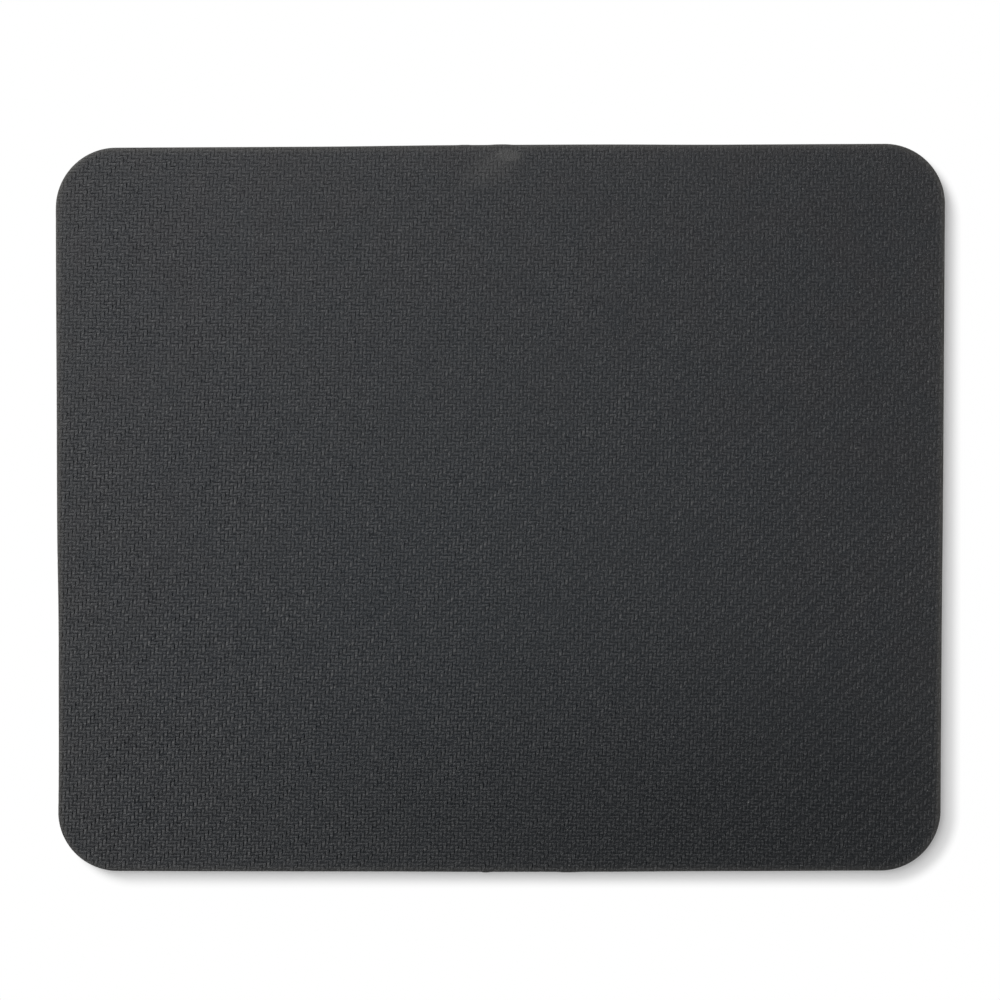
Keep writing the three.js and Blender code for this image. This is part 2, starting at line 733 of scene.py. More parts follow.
@dataclass(frozen=True)
class Oval:
    """An oval region of the pad's face, which may lean."""

    x: float
    y: float
    half_length: float
    half_width: float
    lean: float = 0.0

    def distance(self, x: np.ndarray, y: np.ndarray) -> np.ndarray:
        """Measure how far places lie from the middle.

        Args:
            x: Places along the pad's length.
            y: Places along the pad's width.

        Returns:
            The distances, 1 on the oval's own line.
        """
        right, up = x - self.x, y - self.y
        along = right * math.cos(self.lean) + up * math.sin(self.lean)
        across = up * math.cos(self.lean) - right * math.sin(self.lean)
        return np.hypot(along / self.half_length, across / self.half_width)

    def nearness(self, x: np.ndarray, y: np.ndarray) -> np.ndarray:
        """Say how near places are, from 1 in the middle to 0 far away."""
        return np.exp(-(self.distance(x, y) ** 2))


@dataclass(frozen=True)
class Drift:
    """A slow sideways wander of the cloth: a long wave and a shorter one that slants."""

    long_reach: float
    long_start: float
    short_reach: float
    slant_reach: float
    short_share: float = 0.6

    def at(self, along: np.ndarray, aside: np.ndarray) -> np.ndarray:
        """Read the wander.

        Args:
            along: Places along the threads.
            aside: Places square to them.

        Returns:
            Shares of its size.
        """
        long_wave = np.sin(along / self.long_reach + self.long_start)
        short_wave = np.sin(along / self.short_reach + aside / self.slant_reach)
        return long_wave + self.short_share * short_wave


@dataclass(frozen=True)
class TwillImprint:
    """The relief that a 2/2 twill cloth leaves in the rubber.

    Upright warp threads and level weft threads cross in cells. Each thread passes over two
    crossings and under two, one step further on in each next thread, which makes the diagonal
    ribs. The floats were pressed nearly flat, and where two of the same kind lie side by side
    there is a narrow slot between them. A slot is steep on its upper left and gentle on its lower
    right, the way that the cloth was peeled off. Towards the bottom of the pad the upright slots
    grow and the painted highlights on their rims grow brighter, and the level ones shrink. A cell
    has three grid lines each way: the two shoulders of its thread and the gap after it.
    """

    warp_pitch: float = 0.977 * MM
    weft_pitch: float = 0.860 * MM
    warp_lean: float = math.radians(1.6)
    weft_fall: float = math.radians(0.35)
    depth: float = 0.167 * MM
    head_room: float = 0.2
    gentle_share: float = 0.28
    steep_share: float = 0.25
    gap_share: float = 0.43
    warp_crown: float = 1.0
    weft_crown: float = 1.0
    warp_slot: float = 0.12
    weft_slot: float = 0.4
    warp_slot_end: float = 0.2
    weft_slot_start: float = 0.3
    weft_slot_end: float = 0.4
    deeper_below: float = 0.3
    shallower_below: float = 0.2
    longer_below: float = 0.25
    warp_slot_reach: float = 0.49
    weft_slot_reach: float = 0.65
    slot_tail: float = 0.73
    warp_side: float = 0.85
    weft_side: float = 0.92
    # Painted highlights on the rims by the gentle walls, which face the softbox
    rim_highlight_strength: float = 0.25
    rim_end: float = 0.55
    highlight_change_below: float = 1.2
    weft_highlight: float = 0.5
    rim_spread: float = 0.9
    slot_spread: float = 0.08
    thread_spread: float = 0.04
    float_spread: float = 0.05
    crossing_spread: float = 0.02
    point_spread: float = 0.07
    thread_wander: float = 0.02 * MM
    bend_length: float = 4 * MM
    cloth_wander: float = 0.12 * MM
    warp_drift: Drift = Drift(23 * MM, 1.3, 9 * MM, 31 * MM)
    weft_drift: Drift = Drift(27 * MM, 0.4, 11 * MM, -37 * MM)
    patch_size: float = 2.2 * MM
    patch_spread: float = 0.145
    region_size: float = 14 * MM
    region_spread: float = 0.075
    deeper_to_left: float = 1.6
    deeper_to_bottom: float = 1.9
    level_at: float = 26 * MM
    deep_corner: Oval = Oval(-100 * MM, -70 * MM, 90 * MM, 90 * MM)
    deep_extra: float = 0.14
    strength_limits: Range = (0.25, 2.2)
    seed: int = 7
    repeat: int = 4
    lines: int = 3

    def counts(self, outline: CutOutline) -> tuple[int, int]:
        """Count the threads that cover the pad with some to spare.

        Args:
            outline: The pad's outline.

        Returns:
            How many warp threads and weft threads there are.
        """
        spare = 2 * self.repeat
        length = outline.half_length + outline.half_width * math.tan(self.warp_lean)
        width = outline.half_width + outline.half_length * math.tan(self.weft_fall)
        warps = 2 * math.ceil(length / self.warp_pitch) + spare
        wefts = 2 * math.ceil(width / self.weft_pitch) + spare
        return warps, wefts

    def shares(self, line: np.ndarray, steep_first: bool) -> np.ndarray:
        """Place grid lines in their cells.

        Args:
            line: Grid line numbers.
            steep_first: Whether a slot's steep wall comes before its gentle one.

        Returns:
            Each line's place, counted in threads.
        """
        if steep_first:
            steps = np.array([-self.gentle_share, self.steep_share, self.gap_share])
        else:
            steps = np.array([-self.steep_share, self.gentle_share, 1 - self.gap_share])
        return line // self.lines + steps[line % self.lines]

    def bends(self, thread: np.ndarray, along: np.ndarray, count: int, seed: int) -> np.ndarray:
        """Say how far each thread strays from its straight line.

        Args:
            thread: Thread numbers.
            along: Places along the threads.
            count: How many threads there are.
            seed: Which draw to use.

        Returns:
            The sideways moves.
        """
        nodes = math.ceil(2 * np.abs(along).max() / self.bend_length) + 2
        drawn = np.random.default_rng(seed).normal(0.0, self.thread_wander, (count + 1, nodes + 1))
        step = (along - along.min()) / self.bend_length
        node = step.astype(int)
        ease = smooth_step(step - node)
        return drawn[thread, node] * (1 - ease) + drawn[thread, node + 1] * ease

    def places(self, column: np.ndarray, row: np.ndarray, counts: tuple[int, int]
               ) -> tuple[np.ndarray, np.ndarray]:
        """Place the grid's points on the pad.

        Args:
            column: Grid columns.
            row: Grid rows.
            counts: How many warp and weft threads there are.

        Returns:
            The points' places along the length and the width.
        """
        across = (self.shares(column, steep_first=True) - counts[0] / 2) * self.warp_pitch
        up = (self.shares(row, steep_first=False) - counts[1] / 2) * self.weft_pitch
        x = across + up * math.tan(self.warp_lean)
        y = up - across * math.tan(self.weft_fall)
        x = x + self.bends(column // self.lines, up, counts[0], self.seed + 1)
        y = y + self.bends(row // self.lines, across, counts[1], self.seed + 2)
        x = x + self.cloth_wander * self.warp_drift.at(up, across)
        y = y + self.cloth_wander * self.weft_drift.at(across, up)
        return x, y

    def below(self, row: np.ndarray, counts: tuple[int, int]) -> np.ndarray:
        """Say how far grid rows lie below the middle, as shares of the cloth's width."""
        return 0.5 - row / (self.lines * counts[1])

    def heights(self, column: np.ndarray, row: np.ndarray, counts: tuple[int, int]) -> np.ndarray:
        """Work out the relief at the grid's points.

        Args:
            column: Grid columns.
            row: Grid rows.
            counts: How many warp and weft threads there are.

        Returns:
            The height of each point, from 0 in the slots to 1 on the highest threads.
        """
        warp, weft = column // self.lines, row // self.lines
        step = (warp - weft) % self.repeat
        left, right, beside = (column % self.lines == line for line in range(self.lines))
        lower, upper, over = (row % self.lines == line for line in range(self.lines))
        draw = np.random.default_rng(self.seed)
        bars = sum(counts) // self.repeat + 2 * self.repeat
        number = (warp - weft) // self.repeat + counts[1] // self.repeat + self.repeat
        tops = []
        for crown, count, thread in zip((self.warp_crown, self.weft_crown), counts, (warp, weft)):
            floats = draw.normal(0.0, self.float_spread, (count + 1, bars))[thread, number]
            tops.append(crown + floats + draw.normal(0.0, self.thread_spread, count + 1)[thread])
        warp_top, weft_top = tops
        below = self.below(row, counts)
        warp_slot = self.warp_slot - self.deeper_below * below
        weft_slot = self.weft_slot + self.shallower_below * below
        reach = self.warp_slot_reach - self.longer_below * below
        ends = [(step < 2, self.warp_slot_end), (step == 2, self.weft_slot_start)]
        slot_ends = first_match(ends, self.weft_slot_end)
        # The warp thread lies on top at steps 0 and 1, and the weft thread at steps 2 and 3
        rules = [
            (beside & over, slot_ends),
            (beside & (step == 0), warp_slot),
            (beside & (step == 1), np.where(upper, reach, self.warp_side)),
            (beside & (step == 2), weft_top),
            (beside & (step == 3), np.where(lower, reach, self.warp_side)),
            (over & (step == 0), np.where(left, self.weft_slot_reach, self.weft_side)),
            (over & (step == 1), warp_top),
            (over & (step == 2), np.where(right, self.weft_slot_reach, self.weft_side)),
            (over & (step == 3), weft_slot),
            (left & lower & (step % 2 == 0), self.slot_tail - self.longer_below * below),
        ]
        height = first_match(rules, np.where(step < 2, warp_top, weft_top))
        in_slot = (beside & (step == 0)) | (over & (step == 3)) | (beside & over)
        spread = np.where(in_slot, self.slot_spread, self.crossing_spread)
        crossings = draw.normal(0.0, 1.0, (counts[0] + 1, counts[1] + 1))[warp, weft]
        return height + spread * crossings + draw.normal(0.0, self.point_spread, height.shape)

    def rims(self, column: np.ndarray, row: np.ndarray, counts: tuple[int, int]) -> np.ndarray:
        """Say how strongly painted highlights fall on the rims by the gentle walls, which face the
        softbox.

        Args:
            column: Grid columns.
            row: Grid rows.
            counts: How many warp and weft threads there are.

        Returns:
            The painted highlight at each point, 0 away from the rims.
        """
        step = (column // self.lines - row // self.lines) % self.repeat
        left, beside = column % self.lines == 0, column % self.lines == 2
        upper, over = row % self.lines == 1, row % self.lines == 2
        more = self.highlight_change_below * self.below(row, counts)
        warp_highlight, weft_highlight = 1 + more, self.weft_highlight * (1 - more)
        rules = [
            (left & (step == 1), np.where(over, self.rim_end, 1.0) * warp_highlight),
            (left & over & (step == 2), self.rim_end * warp_highlight),
            (upper & (step == 3), np.where(beside, self.rim_end, 1.0) * weft_highlight),
            (upper & beside & (step == 2), self.rim_end * weft_highlight),
        ]
        highlight_share = first_match(rules, 0.0)
        draw = np.random.default_rng(self.seed + 5)
        return self.rim_highlight_strength * highlight_share * np.maximum(draw.normal(1.0, self.rim_spread, highlight_share.shape), 0.0)

    def strength(self, x: np.ndarray, y: np.ndarray) -> np.ndarray:
        """Say how fully the rubber took the imprint.

        Args:
            x: Places along the pad's length.
            y: Places along the pad's width.

        Returns:
            Shares of the full depth.
        """
        patches = SoftNoise(self.patch_size, self.seed + 3).at(x, y) * self.patch_spread
        regions = SoftNoise(self.region_size, self.seed + 4).at(x, y) * self.region_spread
        tilt = -self.deeper_to_left * x - self.deeper_to_bottom * (y - self.level_at)
        deep = self.deep_extra * self.deep_corner.nearness(x, y)
        return np.clip((1.0 + patches + regions) * (1.0 + tilt + deep), *self.strength_limits)


@dataclass
class PadLayer:
    """One bonded layer of the pad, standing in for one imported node."""

    outline: CutOutline
    node: str = ""
    slot: str = ""
    finish: Finish = field(default_factory=EmbossedRubber)
    edge_step: float = 0.5 * MM
    wall_levels: int = 1
    sharp_angle: float = math.radians(70)

    def span(self) -> tuple[float, float]:
        """Return the heights of the node's lower and upper faces."""
        low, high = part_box(self.node)
        return low.z, high.z

    def level(self, places: np.ndarray) -> np.ndarray:
        """Say how high points lie in the layer, from 0 to 1."""
        low, high = self.span()
        return (places[:, 2] - low) / (high - low)

    def plate(self) -> bmesh.types.BMesh:
        """Make the plain layer: a rounded plate with its edge cut into short steps.

        Returns:
            The plate, with rings round its side at even heights.
        """
        bm = bmesh.new()
        bmesh.ops.create_grid(bm, x_segments=1, y_segments=1, size=1.0)
        size = Vector((self.outline.half_length, self.outline.half_width, 1.0))
        bmesh.ops.scale(bm, vec=size, verts=bm.verts)
        arc_steps = round(self.outline.radius * math.pi / 2 / self.edge_step)
        bmesh.ops.bevel(
            bm,
            geom=bm.verts[:],
            offset=self.outline.radius,
            offset_type="OFFSET",
            segments=arc_steps,
            profile=0.5,
            affect="VERTICES",
            material=-1,
        )
        for edge in [e for e in bm.edges if e.calc_length() > 2 * self.edge_step]:
            cuts = round(edge.calc_length() / self.edge_step) - 1
            bmesh.ops.subdivide_edges(bm, edges=[edge], cuts=cuts)
        low, high = self.span()
        bmesh.ops.translate(bm, vec=Vector((0.0, 0.0, low)), verts=bm.verts)
        lifted = bmesh.ops.extrude_face_region(bm, geom=bm.faces[:])["geom"]
        raised = [g for g in lifted if isinstance(g, bmesh.types.BMVert)]
        bmesh.ops.translate(bm, vec=Vector((0.0, 0.0, high - low)), verts=raised)
        if self.wall_levels > 1:
            tall = (high - low) / 2
            upright = [e for e in bm.edges if abs(e.verts[0].co.z - e.verts[1].co.z) > tall]
            cuts = self.wall_levels - 1
            bmesh.ops.subdivide_edges(bm, edges=upright, cuts=cuts, use_grid_fill=True)
        bmesh.ops.recalc_face_normals(bm, faces=bm.faces)
        return bm

    def shape_side(self, places: np.ndarray) -> np.ndarray:
        """Say how far each point of the side moves outwards from the plain cut."""
        return np.zeros(len(places))

    def cut_plate(self) -> bpy.types.Mesh:
        """Make the plate and move its points to where they lie on the real pad.

        Returns:
            The plate's mesh.
        """
        mesh = to_mesh(self.plate(), self.node)
        places = read_places(mesh)
        out_x, out_y = self.outline.facing(places[:, 0], places[:, 1])
        moved_x, moved_y = self.outline.settle(places[:, 0], places[:, 1])
        move = self.shape_side(places)
        places[:, 0] = moved_x + out_x * move
        places[:, 1] = moved_y + out_y * move
        write_places(mesh, places)
        return mesh

    def finish_piece(self, mesh: bpy.types.Mesh) -> bpy.types.Object:
        """Turn a mesh into the piece that stands for the node.

        Args:
            mesh: The finished mesh.

        Returns:
            The piece.
        """
        mesh.shade_smooth()
        mesh.set_sharp_from_angle(angle=self.sharp_angle)
        mesh.materials.append(self.finish.material())
        piece = bpy.data.objects.new(f"{self.node}_soft", mesh)
        bpy.context.scene.collection.objects.link(piece)
        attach(piece, BODY)
        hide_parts(self.node)
        return piece

    def report(self, piece: bpy.types.Object) -> None:
        """Log the piece's size."""
        log.info("%s: %d faces, for %s", piece.name, len(piece.data.polygons), self.node)


def read_places(mesh: bpy.types.Mesh) -> np.ndarray:
    """Read a mesh's points.

    Args:
        mesh: The mesh.

    Returns:
        One row for each point.
    """
    places = np.empty(len(mesh.vertices) * 3)
    mesh.vertices.foreach_get("co", places)
    return places.reshape(-1, 3)


def write_places(mesh: bpy.types.Mesh, places: np.ndarray) -> None:
    """Move a mesh's points to the given places, one row each."""
    mesh.vertices.foreach_set("co", places.astype(np.float32).ravel())
    mesh.update()


def lumps(places: np.ndarray, size: float) -> np.ndarray:
    """Read soft noise at some points, from -1 to 1, with lumps of some size."""
    return np.array([noise.noise(Vector(place) / size) for place in places])


def to_mesh(bm: bmesh.types.BMesh, name: str) -> bpy.types.Mesh:
    """Turn a bmesh into a mesh and free it.

    Args:
        bm: The bmesh.
        name: The mesh's name.

    Returns:
        The mesh.
    """
    mesh = bpy.data.meshes.new(name)
    bm.to_mesh(mesh)
    bm.free()
    return mesh


def add_numbers(mesh: bpy.types.Mesh, name: str, values: np.ndarray) -> None:
    """Give each point of a mesh a number, under a name that its material reads."""
    layer = mesh.attributes.new(name, "FLOAT", "POINT")
    layer.data.foreach_set("value", values.astype(np.float32))


@dataclass(frozen=True)
class TextureMap:
    """A texture map that gives a layer's showing face nearly all of the image.

    The showing face is drawn flat in the lower part. The side is a strip above it, and the
    hidden face is small at the top.
    """

    main_face: Face
    margin_share: float = 0.004
    strip_low_share: float = 0.84
    strip_high_share: float = 0.88
    spare_low_share: float = 0.9
    spare_size_share: float = 0.09
    flat_limit: float = 0.25

    def lay_out(self, mesh: bpy.types.Mesh, outline: CutOutline, span: tuple[float, float]) -> None:
        """Write the map.

        Args:
            mesh: The layer's mesh.
            outline: The pad's outline.
            span: The heights of its lower and upper faces.
        """
        corner_point = np.empty(len(mesh.loops), np.int32)
        mesh.loops.foreach_get("vertex_index", corner_point)
        sizes = np.empty(len(mesh.polygons), np.int32)
        mesh.polygons.foreach_get("loop_total", sizes)
        upright = np.empty(len(mesh.polygons) * 3)
        mesh.polygons.foreach_get("normal", upright)
        facing = np.repeat(upright.reshape(-1, 3)[:, 2], sizes)
        face = np.repeat(np.arange(len(sizes)), sizes)
        first = np.concatenate([[0], np.cumsum(sizes)[:-1]])
        x, y, z = read_places(mesh)[corner_point].T
        across = (x / outline.half_length + 1) / 2
        up = (y / outline.half_width + 1) / 2 * outline.half_width / outline.half_length
        inner = 1 - 2 * self.margin_share
        turn = outline.perimeter_share(x, y)
        # A face that spans the strip's two ends is drawn past its far end
        crosses = (np.maximum.reduceat(turn, first) - np.minimum.reduceat(turn, first) > 0.5)[face]
        turn = np.where(crosses & (turn < 0.5), turn + 1, turn) / (1 + self.margin_share)
        rise = (z - span[0]) / (span[1] - span[0])
        strip = self.strip_low_share + (self.strip_high_share - self.strip_low_share) * rise
        main = facing * self.main_face.value > self.flat_limit
        spare = facing * self.main_face.value < -self.flat_limit
        u = np.select([main, spare], [across, across * self.spare_size_share], turn)
        v = np.select([main, spare], [up, self.spare_low_share + up * self.spare_size_share], strip)
        layer = mesh.uv_layers.new(name="OFBake")
        places = np.stack([self.margin_share + u * inner, self.margin_share + v * inner], 1)
        layer.uv.foreach_set("vector", places.astype(np.float32).ravel())


@dataclass
class GripSkin(PadLayer):
    """The embossed rubber skin that fills the view."""

    node: str = "grip_skin"
    slot: str = "embossed_rubber"
    finish: EmbossedRubber = field(default_factory=EmbossedRubber)
    imprint: TwillImprint = field(default_factory=TwillImprint)
    sharp_angle: float = math.radians(30)
    edge_round: float = 0.2 * MM
    edge_margin: float = 0.07 * MM
    band_width: float = 1.1 * MM
    band_relief: float = 0.55
    near_reach: float = 1.0 * MM
    far_reach: float = 8 * MM
    far_wear: float = 0.12
    end_wear: float = 0.95
    side_wear: float = 0.67
    more_wear: tuple[float, float] = (-0.05, 0.2)
    # Region of the painted shade at the lower right, farther from the softbox
    falloff_shade: Oval = Oval(52 * MM, -88 * MM, 105 * MM, 48 * MM)
    cool: Oval = Oval(-10 * MM, -30 * MM, 90 * MM, 85 * MM)
    patch: Oval = Oval(2.4 * MM, 87.4 * MM, 3.2 * MM, 1.5 * MM)
    patch_softness: float = 0.5
    patch_pressed: float = 0.92
    smear: Oval = Oval(-1.2 * MM, 85.2 * MM, 10 * MM, 4.8 * MM, math.radians(34))
    smear_end: float = 1.2
    smear_pressed: float = 0.15
    smear_share: float = 0.46
    thinnest: float = 1e-7

    def rubbed(self, x: np.ndarray, y: np.ndarray) -> tuple[np.ndarray, np.ndarray]:
        """Draw the small patch by the edge that was pressed smooth, and the smear beside it.

        Args:
            x: Places along the pad's length.
            y: Places along the pad's width.

        Returns:
            How far each place lies in the patch, and in the smear, from 0 to 1.
        """
        inside = 1 + self.patch_softness / 2 - self.patch.distance(x, y)
        smeared = smooth_step(self.smear_end - self.smear.distance(x, y))
        return smooth_step(inside / self.patch_softness), smeared

    def edge_wear(self, x: np.ndarray, y: np.ndarray) -> np.ndarray:
        """Say how far the rubber wears pale along its cut edge.

        Args:
            x: Places along the pad's length.
            y: Places along the pad's width.

        Returns:
            Shares from 1, on the edge of the left end, towards 0 inside.
        """
        depth = np.maximum(self.outline.depth(x, y), 0.0)
        out_x, out_y = self.outline.facing(x, y)
        near = np.exp(-((depth / self.near_reach) ** 2)) * (1 - self.far_wear)
        wear = near + self.far_wear * np.exp(-depth / self.far_reach)
        by_side = self.side_wear + (self.end_wear - self.side_wear) * out_x**2
        return wear * (by_side + self.more_wear[0] * out_x + self.more_wear[1] * out_y)

    def numbered_grid(self, counts: tuple[int, int]
                      ) -> tuple[bpy.types.Mesh, np.ndarray, np.ndarray]:
        """Make a plain grid with a line for each of the imprint's, and number its points.

        Args:
            counts: How many warp and weft threads there are.

        Returns:
            The grid's mesh, and the column and the row of each point.
        """
        columns, rows = (self.imprint.lines * n - 1 for n in counts)
        bm = bmesh.new()
        bmesh.ops.create_grid(bm, x_segments=columns, y_segments=rows, size=0.5)
        mesh = to_mesh(bm, self.node)
        unit = read_places(mesh)
        column = np.rint((unit[:, 0] + 0.5) * columns).astype(int)
        row = np.rint((unit[:, 1] + 0.5) * rows).astype(int)
        return mesh, column, row

    def embossed(self, height: np.ndarray, kept: np.ndarray, depth: np.ndarray
                 ) -> np.ndarray:
        """Work out how high the points of the upper face lie.

        Args:
            height: The imprint at each point, from 0 in the slots to 1 on the highest threads.
            kept: How much of the imprint the rubber shows there.
            depth: How far inside the outline the point lies.

        Returns:
            The heights, sunk by the imprint and rolled down along the cut.
        """
        round_off = np.clip(self.edge_round - depth, 0.0, self.edge_round)
        rolled = self.edge_round - np.sqrt(self.edge_round**2 - round_off**2)
        room = self.imprint.head_room
        sunk = self.imprint.depth * ((1 + room - height) * kept + room * (1 - kept))
        return self.span()[1] - rolled - np.maximum(sunk, 0.0)

    def upper_face(self) -> bpy.types.Mesh:
        """Lay the grid on the threads, draw what lies past the outline onto it, and emboss it.

        Returns:
            The open upper face, with the numbers that its material reads.
        """
        counts = self.imprint.counts(self.outline)
        mesh, column, row = self.numbered_grid(counts)
        x, y = self.imprint.places(column, row, counts)
        height = self.imprint.heights(column, row, counts)
        inside = self.outline.depth(x, y) > self.edge_margin
        edge_x, edge_y = self.outline.onto_edge(x, y)
        x, y = np.where(inside, x, edge_x), np.where(inside, y, edge_y)
        depth = np.where(inside, self.outline.depth(x, y), 0.0)
        patch, smear = self.rubbed(x, y)
        band = smooth_step(depth / self.band_width)
        kept = self.imprint.strength(x, y) * (self.band_relief + (1 - self.band_relief) * band)
        kept = kept * (1 - self.patch_pressed * patch) * (1 - self.smear_pressed * smear)
        moved_x, moved_y = self.outline.settle(x, y)
        write_places(mesh, np.stack([moved_x, moved_y, self.embossed(height, kept, depth)], 1))
        numbers = {
            # hollow carries the painted shade in the slots
            "hollow": np.clip(1 - height, 0, 1) * kept,
            # rim carries the painted highlights on the rims of the floats
            "rim": self.imprint.rims(column, row, counts) * kept**3,
            "edge": self.edge_wear(x, y),
            # the painted shade over the lower right, farther from the softbox
            "falloff_shade": self.falloff_shade.nearness(x, y),
            "bloom": 1 - self.cool.nearness(x, y),
            "rubbed": np.maximum(patch, self.smear_share * smear),
            "inside": inside.astype(float),
        }
        for name, values in numbers.items():
            add_numbers(mesh, name, values)
        return mesh

    def close_below(self, mesh: bpy.types.Mesh) -> None:
        """Drop the faces past the outline, and give the skin its side and its underside.

        Args:
            mesh: The open upper face, which becomes the closed skin.
        """
        bm = bmesh.new()
        bm.from_mesh(mesh)
        inside = bm.verts.layers.float["inside"]
        for vert in bm.verts:
            vert.tag = vert[inside] > 0.5
        outer = [f for f in bm.faces if not any(v.tag for v in f.verts)]
        bmesh.ops.delete(bm, geom=outer, context="FACES")
        rim = [e for e in bm.edges if e.is_boundary]
        bmesh.ops.dissolve_degenerate(bm, dist=self.thinnest, edges=rim)
        rim = [e for e in bm.edges if e.is_boundary]
        lowered = bmesh.ops.extrude_edge_only(bm, edges=rim)["geom"]
        low = self.span()[0]
        for vert in (g for g in lowered if isinstance(g, bmesh.types.BMVert)):
            vert.co.z = low
        seam = [e for e in bm.edges if e.is_boundary]
        bmesh.ops.contextual_create(bm, geom=seam)
        bm.to_mesh(mesh)
        bm.free()
        mesh.attributes.remove(mesh.attributes["inside"])

    def build(self) -> bpy.types.Object:
        """Model the skin, from its relief down to the sponge.

        Returns:
            The piece.
        """
        mesh = self.upper_face()
        self.close_below(mesh)
        TextureMap(Face.UPPER).lay_out(mesh, self.outline, self.span())
        piece = self.finish_piece(mesh)
        return piece


@dataclass
class SpongeCore(PadLayer):
    """The sponge rubber sheet between the skin and the film."""

    node: str = "sponge_core"
    slot: str = "sponge_rubber"
    finish: CutSponge = field(default_factory=CutSponge)
    edge_step: float = 0.3 * MM
    wall_levels: int = 9
    draw_in: float = 0.15 * MM
    cell_size: float = 0.42 * MM
    cell_radius_share: float = 0.55
    cell_depth: float = 0.07 * MM
    ripple_size: float = 6 * MM
    ripple: float = 0.04 * MM

    def shape_side(self, places: np.ndarray) -> np.ndarray:
        """Draw the side in at mid height, and open the cells that the die cut through.

        Args:
            places: The points, one row each.

        Returns:
            How far each one moves outwards.
        """
        bow = 1 - (2 * self.level(places) - 1) ** 2
        near = np.array([noise.voronoi(Vector(place) / self.cell_size)[0][0] for place in places])
        opened = np.maximum(0.0, 1 - near / self.cell_radius_share)
        ripple = self.ripple * lumps(places, self.ripple_size)
        return bow * (ripple - self.cell_depth * opened - self.draw_in)

    def build(self) -> bpy.types.Object:
        """Model the sponge.

        Returns:
            The piece.
        """
        piece = self.finish_piece(self.cut_plate())
        return piece


@dataclass
class BondingFilm(PadLayer):
    """The melted adhesive film, which ends a little inside the cut."""

    node: str = "bonding_film"
    slot: str = "adhesive_film"
    finish: MeltFilm = field(default_factory=MeltFilm)
    set_back: float = 0.04 * MM
    ooze_size: float = 1.2 * MM
    ooze: float = 0.035 * MM

    def shape_side(self, places: np.ndarray) -> np.ndarray:
        """Let the film stand back from the cut, with small beads where it oozed."""
        return self.ooze * lumps(places, self.ooze_size) - self.set_back

    def build(self) -> bpy.types.Object:
        """Model the film and return the piece."""
        return self.finish_piece(self.cut_plate())


@dataclass
class ClothFace(PadLayer):
    """The knitted tracking cloth, face down on the table."""

    node: str = "cloth_face"
    slot: str = "tracking_cloth"
    finish: KnitCloth = field(default_factory=KnitCloth)
    edge_step: float = 0.3 * MM
    wall_levels: int = 4
    rounded: float = 0.06 * MM
    fray_size: float = 0.5 * MM
    fray: float = 0.05 * MM

    def shape_side(self, places: np.ndarray) -> np.ndarray:
        """Round the cut edge off and let its yarn ends stand uneven.

        Args:
            places: The points, one row each.

        Returns:
            How far each one moves outwards.
        """
        level = self.level(places)
        frayed = self.fray * lumps(places, self.fray_size) * 4 * level * (1 - level)
        return frayed - self.rounded * (2 * level - 1) ** 4

    def build(self) -> bpy.types.Object:
        """Model the cloth.

        Returns:
            The piece.
        """
        mesh = self.cut_plate()
        TextureMap(Face.LOWER).lay_out(mesh, self.outline, self.span())
        piece = self.finish_piece(mesh)
        self.outline.area()
        return piece


